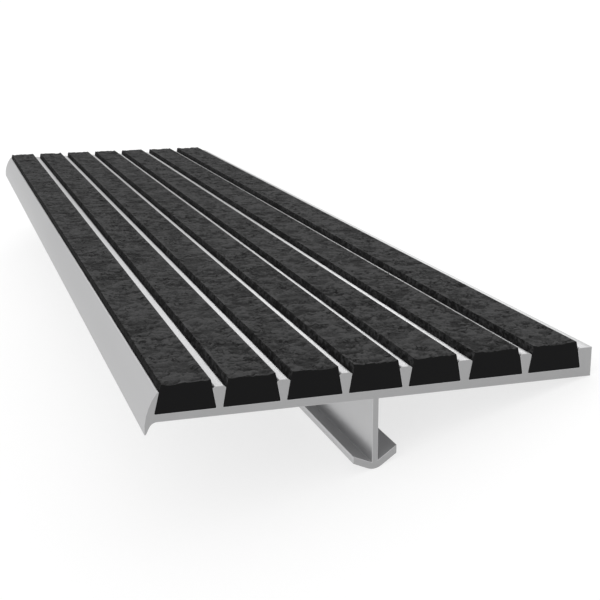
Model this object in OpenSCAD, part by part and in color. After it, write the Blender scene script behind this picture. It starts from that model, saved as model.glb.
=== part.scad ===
// Stair nosing for casting into a concrete tread. An extruded aluminium plate holds
// abrasive strips in dovetail channels. Its front edge curves down into a pointed
// lip, its back edge is a square flange, and a leg with a V-shaped foot anchors it.
//
// One cross-section runs the whole length. In the section frame x runs from the
// nose to the back, with 0 on the anchor leg's centre line, and y runs up, with 0
// on the channel floors.
//
// Unfastened, the nosing rocks back on its foot until the plate's back edge
// touches the ground. It is placed at that tilt: z = 0 is the ground, the origin is
// the middle of the base, the nose faces -X and the cut ends face -Y and +Y.

/* [Stock] */
// Length of the cut piece
length = 370; // [50:1:3000]

/* [Plate] */
// Thickness under the front channel
plate_front_t = 1.65; // [1.2:0.05:4]
// Thickness at the back face
plate_back_t = 2.2; // [1.2:0.05:4]
// Thickness of the back flange at the channel floor
back_flange_t = 2.8; // [1.5:0.05:5]

/* [Channels and ribs] */
// Width of the front channel at its floor
front_channel_w = 12.75; // [9:0.05:20]
// Width of each of the four middle channels at its floor
mid_channel_w = 12.2; // [9:0.05:20]
// Width of each of the two rear channels at its floor
rear_channel_w = 13.05; // [9:0.05:20]
// Height of the ribs above the channel floors
rib_h = 4.6; // [3:0.05:5]
// Thickness of a rib at the channel floor
rib_root_t = 1.4; // [1.2:0.05:3]
// Thickness at the channel floor of the rib before the rear channels
wide_rib_root_t = 1.95; // [1.2:0.05:4]
// Undercut of the channel walls, from the vertical
dovetail_lean = 10; // [2:0.5:12]
// Radius of the channels' floor corners
channel_corner_r = 0.2; // [0.1:0.05:0.6]
// Width of the chamfers along the ribs' tops
rib_chamfer_w = 0.6; // [0.1:0.05:0.6]
// Height of those chamfers
rib_chamfer_h = 0.4; // [0.1:0.05:1]

/* [Nose] */
// Thickness of the nose at the channel floor
nose_root_t = 1.7; // [1.55:0.05:4]
// Radius of the nose's outer face
nose_r = 12.85; // [12:0.05:30]
// Depth of the centre of that radius below the channel floors
nose_centre_drop = 3.45; // [2:0.05:4]
// Undercut of the nose's wall in the front channel, from the vertical
nose_wall_lean = 13.5; // [5:0.5:16]
// Depth of the lip's tip below the channel floors
lip_drop = 4.15; // [3.2:0.05:7]
// Lean of the lip's inner face, from the vertical
lip_lean = 27; // [15:1:40]
// Radius of the lip's tip
lip_tip_r = 0.2; // [0.1:0.05:0.4]
// Radius between the lip's inner face and the plate
lip_fillet_r = 1.8; // [0.5:0.1:2.5]

/* [Anchor] */
// Depth of the foot's lowest point below the channel floors
foot_drop = 17.85; // [12:0.05:60]
// Thickness of the leg
leg_t = 1.35; // [1:0.05:4]
// Width of the foot
foot_w = 10; // [7:0.1:30]
// Thickness of the foot's wings
foot_t = 1.55; // [1:0.05:3]
// Slope of the foot's front wing
front_wing_rise = 24; // [20:1:50]
// Slope of the foot's back wing
back_wing_rise = 35; // [25:1:50]
// Outside radius of the bend under the foot
foot_bend_r = 3.3; // [1:0.1:4]

/* [Abrasive strips] */
// Height of the strips above the ribs
strip_proud = 1.6; // [0.5:0.05:3]
// Radius of the strips' top edges
strip_edge_r = 0.2; // [0.1:0.05:1]
// Clearance between a strip's flanks and the channel walls
strip_gap = 0.05; // [0.01:0.01:0.2]

/* [Hidden] */
$fn = 96;

// Overlap of shapes that are joined and overrun of shapes that are cut away
overrun = 1;

// Excess of a rounding's radius, so that it crosses its neighbours in a clean edge
blend = 0.001;

// Channels are counted from 0 at the nose. The leg is under the middle one.
channel_widths = [front_channel_w, mid_channel_w, mid_channel_w, mid_channel_w,
    mid_channel_w, rear_channel_w, rear_channel_w];
rib_roots = [rib_root_t, rib_root_t, rib_root_t, rib_root_t, wide_rib_root_t, rib_root_t];
leg_channel = 3;
last_channel = len(channel_widths) - 1;

// Section frame x of channel i's front edge at the floor
function channel_x(i) = i == leg_channel ? -channel_widths[i] / 2
    : i < leg_channel ? channel_x(i + 1) - rib_roots[i] - channel_widths[i]
    : channel_x(i - 1) + channel_widths[i - 1] + rib_roots[i - 1];

// Undercut of channel i's front wall
function front_lean(i) = i == 0 ? nose_wall_lean : dovetail_lean;

back_x = channel_x(last_channel) + channel_widths[last_channel] + back_flange_t;

// The nose's outer arc, and the round tip of the lip inside its lower end
nose_centre = [
    channel_x(0) - nose_root_t + sqrt(pow(nose_r, 2) - pow(nose_centre_drop, 2)),
    -nose_centre_drop
];
lip_tip_y = lip_tip_r - lip_drop;
lip_tip = [
    nose_centre.x - sqrt(pow(nose_r - lip_tip_r, 2) - pow(lip_tip_y - nose_centre.y, 2)),
    lip_tip_y
];

// Unit vector up the lip's inner face, and where that face leaves the round tip
lip_up = [sin(lip_lean), cos(lip_lean)];
lip_foot = lip_tip + lip_tip_r * [cos(lip_lean), -sin(lip_lean)];

// The plate's underside runs straight from under the front channel to the back face
underside_front = [channel_x(0), -plate_front_t];
underside_back = [back_x, -plate_back_t];
underside_slope = (underside_back.y - underside_front.y) / (underside_back.x - underside_front.x);
function underside_y(x) = underside_front.y + (x - underside_front.x) * underside_slope;

// Corner where the lip's inner face, carried on straight, meets the underside
lip_corner_rise = (underside_y(lip_foot.x) - lip_foot.y)
    / (lip_up.y - lip_up.x * underside_slope);
lip_corner = lip_foot + lip_corner_rise * lip_up;

// The foot's two lower faces meet at an apex under the leg, rounded by the bend
bend_half_turn = (front_wing_rise + back_wing_rise) / 2;
bend_aim = 90 + (back_wing_rise - front_wing_rise) / 2;
bend_reach = foot_bend_r / cos(bend_half_turn);
bend_centre = [bend_reach * cos(bend_aim), foot_bend_r - foot_drop];
foot_apex = bend_centre - bend_reach * [cos(bend_aim), sin(bend_aim)];
foot_inside = foot_apex + [0, foot_t];

// Tilt at which the ground touches both the foot's bend and the plate's back edge
rest_span = underside_back - bend_centre;
rest_tilt = atan2(rest_span.y, rest_span.x) + asin(foot_bend_r / norm(rest_span));

// A section point after the tilt
function tilted(p) = [
    p.x * cos(rest_tilt) + p.y * sin(rest_tilt),
    p.y * cos(rest_tilt) - p.x * sin(rest_tilt)
];
rest_front_x = tilted(lip_tip).x - lip_tip_r;
rest_back_x = tilted([back_x, rib_h]).x;
ground_y = tilted(bend_centre).y - foot_bend_r;

function unit(v) = v / norm(v);

// Geometry of an arc of radius r in the corner p, between the ways to a and b
function corner_half_angle(p, a, b) = acos(unit(a - p) * unit(b - p)) / 2;
function corner_tangent(p, a, b, r) = p + unit(a - p) * r / tan(corner_half_angle(p, a, b));
function corner_centre(p, a, b, r) =
    p + unit(unit(a - p) + unit(b - p)) * r / sin(corner_half_angle(p, a, b));

// What a radius fills in the inside corner p, carried a little into both sides
module corner_fillet(p, a, b, r) {
    centre = corner_centre(p, a, b, r);
    difference() {
        polygon([
            corner_tangent(p, a, b, r),
            corner_tangent(p, b, a, r),
            p + overrun * unit(p - centre)
        ]);
        translate(centre) circle(r + blend);
    }
}

// Convex polygon with its own radius at each corner
module rounded_polygon(points, radii) {
    last = len(points) - 1;
    function before(i) = points[i == 0 ? last : i - 1];
    function after(i) = points[i == last ? 0 : i + 1];
    polygon([for (i = [0:last]) each [
        corner_tangent(points[i], before(i), after(i), radii[i]),
        corner_tangent(points[i], after(i), before(i), radii[i])
    ]]);
    for (i = [0:last])
        translate(corner_centre(points[i], before(i), after(i), radii[i]))
            circle(radii[i] + blend);
}

// Dovetail shape of channel i up to top_y, with its walls moved in by gap
module dovetail(i, top_y, gap, top_r) {
    front = channel_x(i) + gap;
    back = channel_x(i) + channel_widths[i] - gap;
    rounded_polygon([
        [front, 0],
        [back, 0],
        [back - top_y * tan(dovetail_lean), top_y],
        [front + top_y * tan(front_lean(i)), top_y]
    ], [channel_corner_r, channel_corner_r, top_r, top_r]);
}

// What a rib's chamfer cuts away, on the wall of a channel whose floor ends at
// foot_x. Side is -1 where the rib is in front of that channel and 1 where behind.
module rib_chamfer(foot_x, side) {
    edge = [foot_x - side * rib_h * tan(dovetail_lean), rib_h];
    on_top = edge + [side * rib_chamfer_w, 0];
    on_wall = edge + rib_chamfer_h * [side * tan(dovetail_lean), -1];
    past = overrun * unit(on_top - on_wall);
    polygon([on_top + past, on_wall - past, edge + overrun * [-side, 1]]);
}

// All that is cut away for channel i. The nose's side of the front one stays sharp.
module channel(i) {
    dovetail(i, rib_h + overrun, 0, channel_corner_r);
    rib_chamfer(channel_x(i) + channel_widths[i], 1);
    if (i > 0) rib_chamfer(channel_x(i), -1);
}

// Plate, nose, lip and back flange as one bar, before the channels are cut
module bar() {
    intersection() {
        polygon([
            lip_tip,
            lip_foot,
            lip_corner,
            underside_back,
            [back_x, rib_h],
            [nose_centre.x - nose_r - overrun, rib_h],
            nose_centre + (nose_r + overrun) * unit(lip_tip - nose_centre)
        ]);
        union() {
            translate(nose_centre) circle(nose_r);
            translate([nose_centre.x, nose_centre.y - nose_r])
                square([back_x + overrun - nose_centre.x, 2 * nose_r]);
        }
    }
    translate(lip_tip) circle(lip_tip_r + blend);
    corner_fillet(lip_corner, lip_foot, underside_back, lip_fillet_r);
}

module leg() {
    translate([-leg_t / 2, foot_inside.y])
        square([leg_t, underside_y(0) + overrun - foot_inside.y]);
}

// Outline of one wing, from its tip to the leg. Side is -1 for the front wing and 1
// for the back one.
function wing_outline(side, rise) =
    let (tip = foot_apex + foot_w / 2 * [side, tan(rise)], face_t = [0, foot_t / cos(rise)])
    [tip, tip + face_t, foot_apex + face_t];

// Where a wing's lower face runs into the bend
function bend_tangent(side, rise) = bend_centre + foot_bend_r * [side * sin(rise), -cos(rise)];

// Both wings, with the bend between their lower faces
module foot() {
    front = wing_outline(-1, front_wing_rise);
    back = wing_outline(1, back_wing_rise);
    difference() {
        polygon(concat([foot_apex], back, [for (i = [len(front) - 1:-1:0]) front[i]]));
        difference() {
            polygon([
                bend_tangent(-1, front_wing_rise),
                foot_apex - [0, overrun],
                bend_tangent(1, back_wing_rise)
            ]);
            translate(bend_centre) circle(foot_bend_r + blend);
        }
    }
}

// Runs a section the whole length, at the tilt and height of the loose piece
module stock() {
    translate([-(rest_front_x + rest_back_x) / 2, length / 2, -ground_y])
        rotate([90, 0, 0])
            linear_extrude(length)
                rotate(-rest_tilt)
                    children();
}

module extrusion() {
    color("#c4c6c8") stock() {
        difference() {
            bar();
            for (i = [0:last_channel]) channel(i);
        }
        leg();
        foot();
    }
}

// Abrasive strip, counted from 1 at the nose
module abrasive_strip(count) {
    color("#2e2e30") stock()
        dovetail(count - 1, rib_h + strip_proud, strip_gap, strip_edge_r);
}

extrusion();
abrasive_strip(1);  // abrasive_strip_1
abrasive_strip(2);  // abrasive_strip_2
abrasive_strip(3);  // abrasive_strip_3
abrasive_strip(4);  // abrasive_strip_4
abrasive_strip(5);  // abrasive_strip_5
abrasive_strip(6);  // abrasive_strip_6
abrasive_strip(7);  // abrasive_strip_7
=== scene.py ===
"""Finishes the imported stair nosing: satin aluminium with broken edges, and abrasive
strips with a cast, wrinkled tread surface, on a pale lit floor under a soft sky.

Laid out as an add-on and run as a script. Metres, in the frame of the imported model.
"""

import math

import bmesh
import bpy
from bpy.props import FloatProperty, FloatVectorProperty, PointerProperty
from mathutils import Matrix, Vector, noise
from mathutils.geometry import intersect_line_line


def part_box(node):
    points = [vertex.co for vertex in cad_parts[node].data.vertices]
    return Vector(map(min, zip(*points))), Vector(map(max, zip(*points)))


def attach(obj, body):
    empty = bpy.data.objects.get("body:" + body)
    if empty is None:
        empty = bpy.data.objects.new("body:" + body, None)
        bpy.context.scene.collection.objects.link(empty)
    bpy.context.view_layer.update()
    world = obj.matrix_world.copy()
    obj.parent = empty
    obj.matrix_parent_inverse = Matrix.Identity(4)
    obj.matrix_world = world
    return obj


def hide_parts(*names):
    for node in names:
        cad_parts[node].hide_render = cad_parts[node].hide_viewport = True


bl_info = {
    "name": "Stair nosing",
    "version": (1, 0, 0),
    "blender": (4, 5, 0),
    "location": "3D View > Sidebar > Stair nosing",
    "description": "Finishes the packed stair nosing and sets it in a studio",
    "category": "Object",
}

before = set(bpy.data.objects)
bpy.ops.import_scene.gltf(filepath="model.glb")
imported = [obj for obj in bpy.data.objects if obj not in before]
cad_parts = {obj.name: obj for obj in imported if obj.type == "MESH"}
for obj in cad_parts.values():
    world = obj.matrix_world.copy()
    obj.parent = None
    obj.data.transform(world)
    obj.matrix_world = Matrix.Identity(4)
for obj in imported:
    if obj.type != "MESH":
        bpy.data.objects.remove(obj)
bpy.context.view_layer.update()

BODY = "root"
EXTRUSION_NODE = "extrusion"
STRIP_NODES = sorted(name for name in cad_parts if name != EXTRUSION_NODE)
ALONG = Vector((0, 1, 0))

# Vertices of a copied CAD mesh closer than this are one vertex
WELD = 1e-6
# Triangles of a copied CAD mesh that meet at less than this are one flat face
FLAT_ANGLE = math.radians(0.5)
# Least share along Y of the normal of a face that is a cut end
END_FACING = 0.99

# Places of the materials in a piece's list: the extrusion's, then a strip's
EXTRUDED, SAWN = range(2)
TREAD, FLANK, CUT = range(3)

# Seed of the noise's offsets. Without one they follow the clock and each run differs.
NOISE_SEED = 7

# Noises of the cast relief, with their scales per dent spacing: one bends the fine
# dents out of line, one adds broad dents, and one gathers the hollows in patches
BEND_SCALE, BEND_REACH = 0.5, 0.7
FINE_FALLOFF, FINE_RATIO, FINE_OCTAVES = 0.35, 2.1, 5
BROAD_SCALE, BROAD_SHARE = 0.45, 0.8
PATCH_SCALE, PATCH_GAIN = 0.25, 1.8
# How far level relief is in a hollow, and how fast that grows as the relief falls
HOLLOW_LEVEL, HOLLOW_GAIN = 0.1, 2.5
# Strength of a hollow outside the patches, and what a patch adds to it
HOLLOW_SHARE, PATCH_SHARE = 0.5, 0.35
# How far level relief is dented, and how fast that grows as the relief falls
DENT_LEVEL, DENT_GAIN = 0.5, 0.45

# Facets of a strip's rounded long edge
EDGE_SEGMENTS = 4
# A line of a strip's outline longer than this many edge radii is a straight side
SIDE_RADII = 4
# Least share upward of the normal of a strip's face that is part of its tread surface
TREAD_FACING = 0.5
# Share of the worked depth over which the rough surface sets in on the flanks
WORKED_BLEND = 0.4
# Edge radii below the tread surface over which its relief passes into the flank's
FLANK_RADII = 4
# Share of the dents' depth that is left at the cut ends
END_SHARE = 0.6

# X over which the flanks lighten from the painted shade on the one toward the nose to the
# colour of all the others
FRONT_FLANK_SHADE = (-0.046, -0.036)
# Turn of the saw lines in the cut face
SAW_TURN = math.radians(74)


# Sizes and colours

class MetalFinish(bpy.types.PropertyGroup):
    """Edges and colours of the aluminium extrusion"""
    edge_break: FloatProperty(
        name="Edge break",
        description="Width of the broken edges of the extrusion",
        default=0.00008, min=0.00002, max=0.0002, precision=5, unit="LENGTH")
    sharp_angle: FloatProperty(
        name="Sharp angle",
        description="Faces that meet at more than this get a broken edge",
        default=math.radians(30), min=math.radians(15), max=math.radians(60),
        subtype="ANGLE")
    face_color: FloatVectorProperty(
        name="Extruded face",
        description="Colour of the faces that left the die",
        default=(0.53, 0.53, 0.535), min=0, max=1, subtype="COLOR")
    cut_color: FloatVectorProperty(
        name="Cut face",
        description="Colour of the sawn ends",
        default=(0.382, 0.382, 0.385), min=0, max=1, subtype="COLOR")


class StripFinish(bpy.types.PropertyGroup):
    """Relief and colours of the abrasive strips"""
    cell: FloatProperty(
        name="Mesh pitch",
        description="Spacing of the mesh on the tread surface",
        default=0.0004, min=0.0003, max=0.002, precision=5, unit="LENGTH")
    edge_radius: FloatProperty(
        name="Edge radius",
        description="Radius of the long edges",
        default=0.0001, min=0.00005, max=0.001, precision=5, unit="LENGTH")
    end_break: FloatProperty(
        name="End break",
        description="Width of the break round the sawn ends",
        default=0.00005, min=0.00001, max=0.0002, precision=5, unit="LENGTH")
    worked_depth: FloatProperty(
        name="Worked depth",
        description="How far down the flanks the rough surface reaches",
        default=0.0022, min=0.0005, max=0.005, precision=5, unit="LENGTH")
    dent_width: FloatProperty(
        name="Dent width",
        description="Spacing of the dents across the strip",
        default=0.0028, min=0.001, max=0.02, precision=5, unit="LENGTH")
    dent_length: FloatProperty(
        name="Dent length",
        description="Spacing of the dents along the strip",
        default=0.0023, min=0.001, max=0.02, precision=5, unit="LENGTH")
    dent_depth: FloatProperty(
        name="Dent depth",
        description="Depth of the dents in the tread surface",
        default=0.0005, min=0, max=0.001, precision=5, unit="LENGTH")
    hollow_depth: FloatProperty(
        name="Hollow depth",
        description="Further depth of the hollows, where the dents are deepest",
        default=0.0003, min=0, max=0.001, precision=5, unit="LENGTH")
    skin_depth: FloatProperty(
        name="Skin depth",
        description="Depth of the whole tread surface under the CAD strip's top",
        default=0.00002, min=0, max=0.0002, precision=5, unit="LENGTH")
    edge_margin: FloatProperty(
        name="Edge margin",
        description="Width along the edges and the ends over which the dents fade",
        default=0.0012, min=0.0001, max=0.005, precision=5, unit="LENGTH")
    edge_share: FloatProperty(
        name="Edge share",
        description="Share of the dents' depth that is left at the edge toward the nose",
        default=0.4, min=0, max=1, subtype="FACTOR")
    flank_depth: FloatProperty(
        name="Flank depth",
        description="Depth of the dents in the flanks above the ribs",
        default=0.0002, min=0, max=0.001, precision=5, unit="LENGTH")
    back_swell: FloatVectorProperty(
        name="Back swell",
        description="How far each strip, counted from the nose, swells toward its back",
        default=(0.00012, 0.0001, 0.0001, 0.00003, -0.00005, -0.0002, -0.00005),
        size=7, min=-0.0005, max=0.0005, precision=5, unit="LENGTH")
    grit_color: FloatVectorProperty(
        name="Tread surface",
        description="Colour of the cast tread surface",
        default=(0.039, 0.039, 0.0395), min=0, max=1, subtype="COLOR")
    # Painted shade that the hollows and creases of the tread surface and the hollows of the
    # flanks are darkened to
    painted_hollow_shade: FloatVectorProperty(
        name="Hollows",
        description="Colour of the hollows in the tread surface",
        default=(0.007, 0.007, 0.0072), min=0, max=1, subtype="COLOR")
    flank_color: FloatVectorProperty(
        name="Flanks",
        description="Colour of the flanks, which the mould left smoother",
        default=(0.024, 0.024, 0.0244), min=0, max=1, subtype="COLOR")
    # Painted shade: the strips' cut ends are made far darker than their tread surface
    cut_color: FloatVectorProperty(
        name="Cut face",
        description="Colour of the sawn ends",
        default=(0.0055, 0.0055, 0.0058), min=0, max=1, subtype="COLOR")


class StudioSettings(bpy.types.PropertyGroup):
    """Floor, lights and camera"""
    floor_size: FloatProperty(
        name="Floor size",
        description="Side of the square floor",
        default=12, min=2, max=50, unit="LENGTH")
    floor_color: FloatVectorProperty(
        name="Floor",
        description="Colour of the floor",
        default=(0.36, 0.36, 0.36), min=0, max=1, subtype="COLOR")
    floor_glow: FloatProperty(
        name="Floor glow",
        description="Light that the floor, a lit table, gives off by itself",
        default=0.66, min=0, max=2)
    sky_strength: FloatProperty(
        name="Sky",
        description="Strength of the even light from all round",
        default=1.0, min=0, max=5)
    softbox_size: FloatVectorProperty(
        name="Softbox size",
        description="Width and height of the softboxes",
        default=(0.8, 0.4), size=2, min=0.01, unit="LENGTH")
    back_place: FloatVectorProperty(
        name="Back softbox's place",
        description="Where the high softbox beyond the far end stands",
        default=(0.49, 1.56, 0.965), subtype="TRANSLATION", unit="LENGTH")
    back_power: FloatProperty(
        name="Back softbox",
        description="Power of the high softbox beyond the far end",
        default=1.3, min=0, max=500, subtype="POWER")
    side_place: FloatVectorProperty(
        name="Side softbox's place",
        description="Where the softbox beyond the far end and to the back's side stands",
        default=(1.11, 1.33, 0.67), subtype="TRANSLATION", unit="LENGTH")
    side_power: FloatProperty(
        name="Side softbox",
        description="Power of the softbox beyond the far end and to the back's side",
        default=2.6, min=0, max=500, subtype="POWER")
    camera_place: FloatVectorProperty(
        name="Camera place",
        description="Where the camera stands",
        default=(-0.06099, -0.39825, 0.11847), subtype="TRANSLATION", unit="LENGTH",
        precision=5)
    camera_turn: FloatVectorProperty(
        name="Camera turn",
        description="Turn of the camera about X, Y and Z in turn",
        default=(math.radians(69.989), math.radians(16.034), math.radians(-18.867)),
        subtype="EULER", precision=5)
    camera_sensor: FloatProperty(
        name="Sensor",
        description="Width of the camera's sensor in millimetres",
        default=36, min=1, max=100)
    camera_lens: FloatProperty(
        name="Lens",
        description="Focal length of the camera in millimetres",
        default=68.73, min=10, max=300)
    camera_clip: FloatProperty(
        name="Near limit",
        description="Distance from the camera at which things begin to show",
        default=0.01, min=0.001, max=1, unit="LENGTH")


# Materials

class Shading:
    """Node tree of one new material, with its Principled shader and object coordinates."""

    def __init__(self, name):
        self.material = bpy.data.materials.new(name)
        self.material.use_nodes = True
        self.tree = self.material.node_tree
        self.shader = self.tree.nodes["Principled BSDF"]
        coordinates = self.tree.nodes.new("ShaderNodeTexCoord")
        self.place = coordinates.outputs["Object"]

    def put(self, socket, value):
        """Links a socket to another one or sets its value."""
        if isinstance(value, bpy.types.NodeSocket):
            self.tree.links.new(value, socket)
        else:
            socket.default_value = value

    def node(self, kind, **values):
        """New node whose named inputs get the given values or the given sockets."""
        made = self.tree.nodes.new(kind)
        for key, value in values.items():
            self.put(made.inputs[key.replace("_", " ")], value)
        return made

    def surface(self, color, roughness, normal):
        """Links the shader's colour, roughness and normal."""
        for key, value in (("Base Color", color), ("Roughness", roughness),
                           ("Normal", normal)):
            self.put(self.shader.inputs[key], value)

    def stretched(self, scale, turn=(0, 0, 0)):
        """Object coordinates scaled along each axis and turned."""
        mapping = self.node("ShaderNodeMapping", Vector=self.place, Scale=scale,
                            Rotation=turn)
        return mapping.outputs["Vector"]

    def noise(self, where, scale, detail, roughness=0.5):
        """Noise of the given scale per metre, between 0 and 1."""
        made = self.node("ShaderNodeTexNoise", Vector=where, Scale=scale, Detail=detail,
                         Roughness=roughness)
        return made.outputs["Fac"]

    def hollows(self):
        """How far the mesh is in a hollow of the cast relief, by which the materials paint
        shade.
        """
        made = self.node("ShaderNodeAttribute")
        made.attribute_name = "hollow"
        return made.outputs["Fac"]

    def math(self, operation, *values):
        """Sum, product or the like of values and sockets."""
        made = self.tree.nodes.new("ShaderNodeMath")
        made.operation = operation
        for socket, value in zip(made.inputs, values):
            self.put(socket, value)
        return made.outputs["Value"]

    def spread(self, value, low, high, span=(0.3, 0.7)):
        """Value carried from the span of a noise to between low and high."""
        made = self.node("ShaderNodeMapRange", Value=value, From_Min=span[0],
                         From_Max=span[1], To_Min=low, To_Max=high)
        return made.outputs["Result"]

    def creases(self, where, scale, width):
        """1 along thin broken lines, 0 between them. They follow a noise's middle level."""
        field = self.noise(where, scale, detail=2, roughness=0.6)
        off_line = self.math("ABSOLUTE", self.math("SUBTRACT", field, 0.5))
        line = self.spread(off_line, 1, 0, span=(0.3 * width, width))
        gaps = self.spread(self.noise(where, 0.8 * scale, detail=2), 0, 1,
                           span=(0.42, 0.55))
        return self.math("MULTIPLY", line, gaps)

    def blend(self, share, first, second):
        """Colour between two others."""
        made = self.tree.nodes.new("ShaderNodeMix")
        made.data_type = "RGBA"
        self.put(made.inputs["Factor"], share)
        for key, color in (("A", first), ("B", second)):
            self.put(made.inputs[key],
                     color if isinstance(color, bpy.types.NodeSocket) else (*color, 1))
        return made.outputs["Result"]

    def shades(self, share, color, low, high):
        """Between a low and a high multiple of a colour."""
        return self.blend(share, shade(color, low), shade(color, high))

    def bump(self, height, depth, under=None):
        """Normal of a relief of the given depth in metres, over the relief under it."""
        made = self.node("ShaderNodeBump", Height=height, Distance=depth, Strength=1.0)
        if under:
            self.put(made.inputs["Normal"], under)
        return made.outputs["Normal"]


def shade(color, share):
    """Colour times a share, held within 0 and 1."""
    return tuple(min(1.0, max(0.0, part * share)) for part in color)


def extruded_aluminium(color):
    """Satin aluminium with fine die lines along its length and a soft, uneven sheen."""
    s = Shading("extruded_aluminium")
    s.shader.inputs["Metallic"].default_value = 1.0
    s.shader.inputs["Specular Tint"].default_value = (0.78, 0.78, 0.78, 1)
    die_lines = s.noise(s.stretched((1, 0.004, 1)), scale=3500, detail=3)
    clouds = s.noise(s.stretched((1, 0.25, 1)), scale=90, detail=4)
    grain = s.noise(s.place, scale=9000, detail=2)
    s.surface(color=s.shades(clouds, color, low=0.95, high=1.04),
              roughness=s.spread(clouds, 0.37, 0.43),
              normal=s.bump(grain, depth=0.000001,
                            under=s.bump(die_lines, depth=0.0000012)))
    return s.material


def sawn_aluminium(color):
    """Cut end of the extrusion: duller than its faces, with faint straight saw lines."""
    s = Shading("sawn_aluminium")
    s.shader.inputs["Metallic"].default_value = 1.0
    saw_lines = s.noise(s.stretched((0.05, 1, 1), turn=(0, SAW_TURN, 0)), scale=5200,
                        detail=3)
    clouds = s.noise(s.place, scale=160, detail=3)
    s.surface(color=s.shades(clouds, color, low=0.95, high=1.05),
              roughness=s.spread(clouds, 0.5, 0.6),
              normal=s.bump(saw_lines, depth=0.000002))
    return s.material


def cast_grit(color, painted_hollow_shade):
    """Tread surface of a strip: dark resin over fine grit, with shade painted into its
    hollows and thin creases."""
    s = Shading("cast_grit")
    s.shader.inputs["Specular IOR Level"].default_value = 0.22
    grains = s.noise(s.place, scale=3800, detail=3, roughness=0.6)
    pits = s.noise(s.place, scale=1500, detail=4, roughness=0.7)
    clouds = s.noise(s.stretched((1, 0.4, 1)), scale=260, detail=3, roughness=0.6)
    patched = s.math("ADD", s.spread(pits, 0, 0.8, span=(0.4, 0.6)),
                     s.spread(clouds, 0, 0.2, span=(0.4, 0.6)))
    raised = s.shades(patched, color, low=0.75, high=1.25)
    creases = s.creases(s.stretched((0.7, 0.85, 0.8)), scale=300, width=0.04)
    # Painted shade: the hollows and the thin creases are darkened toward the hollows'
    # colour
    dark = s.math("MAXIMUM", s.hollows(), creases)
    pitted = s.bump(s.math("SUBTRACT", pits, creases), depth=0.00016)
    s.surface(color=s.blend(dark, raised, painted_hollow_shade),
              roughness=s.spread(pits, 0.82, 0.94),
              normal=s.bump(grains, depth=0.00002, under=pitted))
    return s.material


def moulded_grit(color, painted_hollow_shade):
    """Flank of a strip: the same dark resin, with the fine pitted skin of the mould, shade
    painted into its hollows, and painted shade that darkens the flank toward the nose."""
    s = Shading("moulded_grit")
    s.shader.inputs["Specular IOR Level"].default_value = 0.05
    pits = s.noise(s.stretched((1, 0.6, 1)), scale=1100, detail=4, roughness=0.7)
    pitted = s.spread(pits, 0, 1, span=(0.4, 0.6))
    axes = s.node("ShaderNodeSeparateXYZ", Vector=s.place)
    # Painted shade: the colour of the flank toward the nose is darkened
    front = s.spread(axes.outputs["X"], 1, 0, span=FRONT_FLANK_SHADE)
    raised = s.blend(front, s.shades(pitted, color, low=0.2, high=1.9),
                     s.shades(pitted, color, low=0, high=0.5))
    # Painted shade: the flank's hollows are darkened toward the hollows' colour
    s.surface(color=s.blend(s.hollows(), raised, painted_hollow_shade),
              roughness=s.spread(pits, 0.75, 0.9),
              normal=s.bump(pits, depth=0.0001))
    return s.material


def sawn_grit(color):
    """Cut end of a strip: flat, with the grit just showing, and darkened by painted shade.
    """
    s = Shading("sawn_grit")
    s.shader.inputs["Specular IOR Level"].default_value = 0.1
    grains = s.noise(s.place, scale=3800, detail=2, roughness=0.6)
    s.surface(color=s.shades(grains, color, low=0.8, high=1.25),
              roughness=s.spread(grains, 0.7, 0.85),
              normal=s.bump(grains, depth=0.00001))
    return s.material


def pale_floor(color, glow):
    """Pale matt floor that gives off some light by itself."""
    s = Shading("pale_floor")
    s.shader.inputs["Emission Strength"].default_value = glow
    s.shader.inputs["Specular IOR Level"].default_value = 0.1
    s.shader.inputs["Roughness"].default_value = 0.9
    clouds = s.noise(s.place, scale=6, detail=3)
    s.put(s.shader.inputs["Base Color"], s.shades(clouds, color, low=0.99, high=1.01))
    return s.material


# Modelling

def welded_copy(node):
    """Copy of a CAD node's mesh, with its triangles merged into its flat faces."""
    bm = bmesh.new()
    bm.from_mesh(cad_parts[node].data)
    bmesh.ops.remove_doubles(bm, verts=bm.verts, dist=WELD)
    bmesh.ops.dissolve_limit(bm, angle_limit=FLAT_ANGLE, verts=bm.verts, edges=bm.edges)
    return bm


def near_end(bm):
    """The cut end that faces -Y."""
    return min((face for face in bm.faces if face.normal.y < -END_FACING),
               key=lambda face: face.calc_center_median().y)


def meeting_point(edge, other):
    """Where the lines of two edges meet."""
    ends = [vert.co for vert in (*edge.verts, *other.verts)]
    return intersect_line_line(*ends)[0]


def section_corners(node):
    """Four corners of a strip's section at its near end, as if its edges were sharp:
    the two at the floor, which is the longest side, then the two at the top."""
    bm = welded_copy(node)
    outline = [loop.edge for loop in near_end(bm).loops]
    sides = sorted(outline, key=lambda edge: -edge.calc_length())[:4]
    floor = outline.index(sides[0])
    around = sorted(sides, key=lambda edge: (outline.index(edge) - floor) % len(outline))
    corners = [meeting_point(around[i - 1], around[i]) for i in range(4)]
    bm.free()
    return corners


def tread_normal(corners):
    """Direction out of a strip's tread surface."""
    up = (corners[3] - corners[2]).cross(ALONG).normalized()
    if up.dot(corners[2] - corners[1]) < 0:
        up.negate()
    return up


def smooth_step(share):
    """Share held within 0 and 1, with soft ends."""
    share = min(1.0, max(0.0, share))
    return share * share * (3 - 2 * share)


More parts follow.
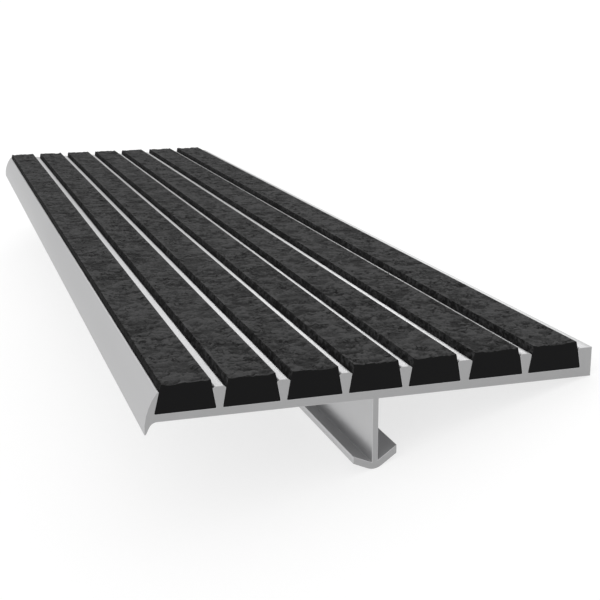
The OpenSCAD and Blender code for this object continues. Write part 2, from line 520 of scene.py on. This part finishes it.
def grit_relief(place, finish):
    """How deep the cast surface is dented at a place, and how far it is in a hollow."""
    p = Vector((place.x / finish.dent_width, place.y / finish.dent_length,
                place.z / finish.dent_width))
    bend = noise.noise_vector(p * BEND_SCALE) * BEND_REACH
    relief = (noise.fractal(p + bend, FINE_FALLOFF, FINE_RATIO, FINE_OCTAVES)
              + BROAD_SHARE * noise.noise(p * BROAD_SCALE))
    patch = smooth_step(0.5 + PATCH_GAIN * noise.noise(p * PATCH_SCALE))
    hollow = (smooth_step(HOLLOW_LEVEL - HOLLOW_GAIN * relief)
              * (HOLLOW_SHARE + PATCH_SHARE * patch))
    dent = min(1.0, max(0.0, DENT_LEVEL - DENT_GAIN * relief))
    return dent, hollow


def round_corners(bm, radius):
    """Rounds every corner of a flat outline to one radius."""
    for vert in list(bm.verts):
        near, far = (edge.other_vert(vert).co - vert.co for edge in vert.link_edges)
        reach = radius / math.tan(near.angle(far) / 2)
        bmesh.ops.bevel(bm, geom=[vert], offset=reach, offset_type="OFFSET",
                        segments=EDGE_SEGMENTS, profile=0.5, affect="VERTICES",
                        material=-1)


def draw_outline(bm, corners, up, finish):
    """Draws a strip's rounded section, finely divided where its surface is rough."""
    bm.faces.new([bm.verts.new(corner) for corner in corners])
    round_corners(bm, finish.edge_radius)
    bmesh.ops.delete(bm, geom=list(bm.faces), context="FACES_ONLY")

    worked_height = corners[2].dot(up) - finish.worked_depth
    side_length = SIDE_RADII * finish.edge_radius
    for edge in [edge for edge in bm.edges if edge.calc_length() > side_length]:
        lower, upper = sorted(edge.verts, key=lambda vert: vert.co.dot(up))
        rise = upper.co.dot(up) - lower.co.dot(up)
        if rise > finish.worked_depth:
            share = (worked_height - lower.co.dot(up)) / rise
            split = bmesh.utils.edge_split(edge, lower, share)[1]
            edge = next(part for part in split.link_edges if upper in part.verts)
        elif lower.co.dot(up) < worked_height:
            continue
        cuts = round(edge.calc_length() / finish.cell) - 1
        bmesh.ops.subdivide_edges(bm, edges=[edge], cuts=cuts)


def sweep_outline(bm, length, up, cell):
    """Sweeps an outline along +Y into an open tube, with its faces outward."""
    far_ring = bmesh.ops.duplicate(bm, geom=bm.verts[:] + bm.edges[:])["geom"]
    far_verts = [part for part in far_ring if isinstance(part, bmesh.types.BMVert)]
    bmesh.ops.translate(bm, verts=far_verts, vec=(0, length, 0))
    long_edges = bmesh.ops.bridge_loops(bm, edges=bm.edges[:])["edges"]
    bmesh.ops.subdivide_edgering(bm, edges=long_edges, interp_mode="LINEAR",
                                 cuts=round(length / cell) - 1)
    bm.normal_update()
    highest = max(bm.faces, key=lambda face: face.calc_center_median().dot(up))
    if highest.normal.dot(up) < 0:
        bmesh.ops.reverse_faces(bm, faces=bm.faces)
        bm.normal_update()


def roughen(bm, corners, up, ends, back_swell, finish):
    """Sinks a strip's tread surface and the top of its flanks by the cast relief, and
    notes the hollows in an attribute."""
    across = ALONG.cross(up)
    front, back = sorted(corner.dot(across) for corner in corners[2:])
    top_height = corners[2].dot(up)
    worked_height = top_height - finish.worked_depth
    for face in bm.faces:
        face.material_index = TREAD if face.normal.dot(up) > TREAD_FACING else FLANK

    hollows = bm.verts.layers.float.new("hollow")
    moves = []
    for vert in bm.verts:
        height, reach = vert.co.dot(up), vert.co.dot(across)
        from_front = smooth_step((reach - front) / finish.edge_margin)
        from_back = smooth_step((back - reach) / finish.edge_margin)
        from_end = smooth_step(min(vert.co.y - ends[0], ends[1] - vert.co.y)
                               / finish.edge_margin)
        worked = smooth_step((height - worked_height)
                             / (WORKED_BLEND * finish.worked_depth))
        flank = smooth_step((top_height - finish.edge_radius - height)
                            / (FLANK_RADII * finish.edge_radius))

        dent, hollow = grit_relief(vert.co, finish)
        share = (from_back * (END_SHARE + (1 - END_SHARE) * from_end)
                 * (finish.edge_share + (1 - finish.edge_share) * from_front))
        tread_move = finish.skin_depth + share * (finish.dent_depth * dent
                                                  + finish.hollow_depth * hollow)
        flank_move = finish.flank_depth * (dent - DENT_LEVEL) * from_end
        sunk = worked * (tread_move * (1 - flank) + flank_move * flank)
        swell = worked * back_swell * (1 - from_back)
        # The materials paint shade into the hollows by this attribute
        vert[hollows] = hollow
        moves.append(across * swell - vert.normal * sunk)
    for vert, move in zip(bm.verts, moves):
        vert.co += move


def close_ends(bm, width):
    """Closes a tube's two ends as sawn faces, with a small break round each."""
    rims = [edge for edge in bm.edges if edge.is_boundary]
    ends = bmesh.ops.holes_fill(bm, edges=rims, sides=0)["faces"]
    bmesh.ops.recalc_face_normals(bm, faces=bm.faces)
    for face in bm.faces:
        face.smooth = True
    for end in ends:
        end.smooth = False
        breaks = bmesh.ops.inset_individual(bm, faces=[end], thickness=width)["faces"]
        inner = set(end.verts)
        for vert in {vert for face in breaks for vert in face.verts} - inner:
            vert.co.y -= width * math.copysign(1, end.normal.y)
        for face in breaks:
            face.material_index = FLANK
        end.material_index = CUT


def finished_piece(name, bm, materials, node):
    """Makes an object of a mesh, which stands for a CAD node."""
    mesh = bpy.data.meshes.new(name)
    bm.to_mesh(mesh)
    bm.free()
    for material in materials:
        mesh.materials.append(material)
    piece = bpy.data.objects.new(name, mesh)
    bpy.context.scene.collection.objects.link(piece)
    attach(piece, BODY)
    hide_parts(node)
    return piece


# Operators

class STAIRNOSING_OT_extrusion(bpy.types.Operator):
    """Breaks the sharp edges of the aluminium extrusion and gives it its finish"""
    bl_idname = "stair_nosing.extrusion"
    bl_label = "Extrusion"

    def execute(self, context):
        finish = context.scene.nosing_metal
        bm = welded_copy(EXTRUSION_NODE)
        for face in bm.faces:
            cut = abs(face.normal.y) > END_FACING
            face.material_index = SAWN if cut else EXTRUDED
        sharp = [edge for edge in bm.edges
                 if edge.calc_face_angle(0) > finish.sharp_angle]
        broken = bmesh.ops.bevel(bm, geom=sharp, offset=finish.edge_break,
                                 offset_type="OFFSET", segments=2, profile=0.5,
                                 affect="EDGES", material=-1, clamp_overlap=False)
        for face in broken["faces"]:
            face.material_index = EXTRUDED
        for face in bm.faces:
            face.smooth = face.material_index == EXTRUDED
        materials = [extruded_aluminium(finish.face_color),
                     sawn_aluminium(finish.cut_color)]
        finished_piece("extrusion_finished", bm, materials, EXTRUSION_NODE)
        return {"FINISHED"}


class STAIRNOSING_OT_abrasive_strips(bpy.types.Operator):
    """Models the abrasive strips, with their cast tread surface and sawn ends"""
    bl_idname = "stair_nosing.abrasive_strips"
    bl_label = "Abrasive strips"

    def execute(self, context):
        finish = context.scene.nosing_strips
        noise.seed_set(NOISE_SEED)
        materials = [cast_grit(finish.grit_color, finish.painted_hollow_shade),
                     moulded_grit(finish.flank_color, finish.painted_hollow_shade),
                     sawn_grit(finish.cut_color)]
        for node, back_swell in zip(STRIP_NODES, finish.back_swell):
            bm = self.strip(node, back_swell, finish)
            finished_piece(node.replace("abrasive", "gritted"), bm, materials,
                           node)
        return {"FINISHED"}

    def strip(self, node, back_swell, finish):
        """Mesh of one strip: its section swept along its length, rough where it shows."""
        corners = section_corners(node)
        low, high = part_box(node)
        up = tread_normal(corners)
        bm = bmesh.new()
        draw_outline(bm, corners, up, finish)
        sweep_outline(bm, high.y - low.y, up, finish.cell)
        roughen(bm, corners, up, (low.y, high.y), back_swell, finish)
        close_ends(bm, finish.end_break)
        return bm


class STAIRNOSING_OT_stage(bpy.types.Operator):
    """Lays the floor, sets the lights and stands the camera"""
    bl_idname = "stair_nosing.stage"
    bl_label = "Stage"

    def execute(self, context):
        studio = context.scene.nosing_studio
        self.lay_floor(context.scene, studio)
        self.light(context.scene, studio)
        self.stand_camera(context.scene, studio)
        return {"FINISHED"}

    def lay_floor(self, scene, studio):
        """Lays a square floor at z = 0."""
        bm = bmesh.new()
        bmesh.ops.create_grid(bm, x_segments=1, y_segments=1, size=studio.floor_size / 2)
        mesh = bpy.data.meshes.new("floor")
        bm.to_mesh(mesh)
        bm.free()
        mesh.materials.append(pale_floor(studio.floor_color, studio.floor_glow))
        floor = bpy.data.objects.new("floor", mesh)
        scene.collection.objects.link(floor)

    def light(self, scene, studio):
        """Sets an even white sky and the two softboxes."""
        scene.world = bpy.data.worlds.new("studio_sky")
        scene.world.use_nodes = True
        sky = scene.world.node_tree.nodes["Background"]
        sky.inputs["Color"].default_value = (1, 1, 1, 1)
        sky.inputs["Strength"].default_value = studio.sky_strength
        for name, place, power in (
                ("back_softbox", studio.back_place, studio.back_power),
                ("side_softbox", studio.side_place, studio.side_power)):
            self.softbox(scene, name, place, studio.softbox_size, power)

    def softbox(self, scene, name, place, size, power):
        """Rectangular light that faces the nosing."""
        lamp = bpy.data.lights.new(name, "AREA")
        lamp.shape = "RECTANGLE"
        lamp.size, lamp.size_y = size
        lamp.energy = power
        softbox = bpy.data.objects.new(name, lamp)
        facing = (-Vector(place)).to_track_quat("-Z", "Y")
        softbox.matrix_world = Matrix.Translation(place) @ facing.to_matrix().to_4x4()
        scene.collection.objects.link(softbox)

    def stand_camera(self, scene, studio):
        """Stands the camera at the photograph's viewing angle."""
        lens = bpy.data.cameras.new("camera")
        lens.sensor_width = studio.camera_sensor
        lens.lens = studio.camera_lens
        lens.clip_start = studio.camera_clip
        camera = bpy.data.objects.new("camera", lens)
        camera.location = studio.camera_place
        camera.rotation_euler = studio.camera_turn
        scene.collection.objects.link(camera)
        scene.camera = camera
        scene.view_settings.view_transform = "Standard"


class STAIRNOSING_PT_panel(bpy.types.Panel):
    """Lists the stair nosing's operators"""
    bl_label = "Stair nosing"
    bl_space_type = "VIEW_3D"
    bl_region_type = "UI"
    bl_category = "Stair nosing"

    def draw(self, context):
        for operator in OPERATORS:
            self.layout.operator(operator.bl_idname)


OPERATORS = (STAIRNOSING_OT_extrusion, STAIRNOSING_OT_abrasive_strips,
             STAIRNOSING_OT_stage)
SETTINGS = {
    "nosing_metal": MetalFinish,
    "nosing_strips": StripFinish,
    "nosing_studio": StudioSettings,
}
CLASSES = (*SETTINGS.values(), *OPERATORS, STAIRNOSING_PT_panel)


def register():
    """Adds the classes and the scene's settings."""
    for cls in CLASSES:
        bpy.utils.register_class(cls)
    for name, settings in SETTINGS.items():
        setattr(bpy.types.Scene, name, PointerProperty(type=settings))


def unregister():
    """Takes away what register added."""
    for name in SETTINGS:
        delattr(bpy.types.Scene, name)
    for cls in reversed(CLASSES):
        bpy.utils.unregister_class(cls)


def main():
    """Builds the scene."""
    register()
    bpy.ops.stair_nosing.extrusion()
    bpy.ops.stair_nosing.abrasive_strips()
    bpy.ops.stair_nosing.stage()


if __name__ == "__main__":
    main()
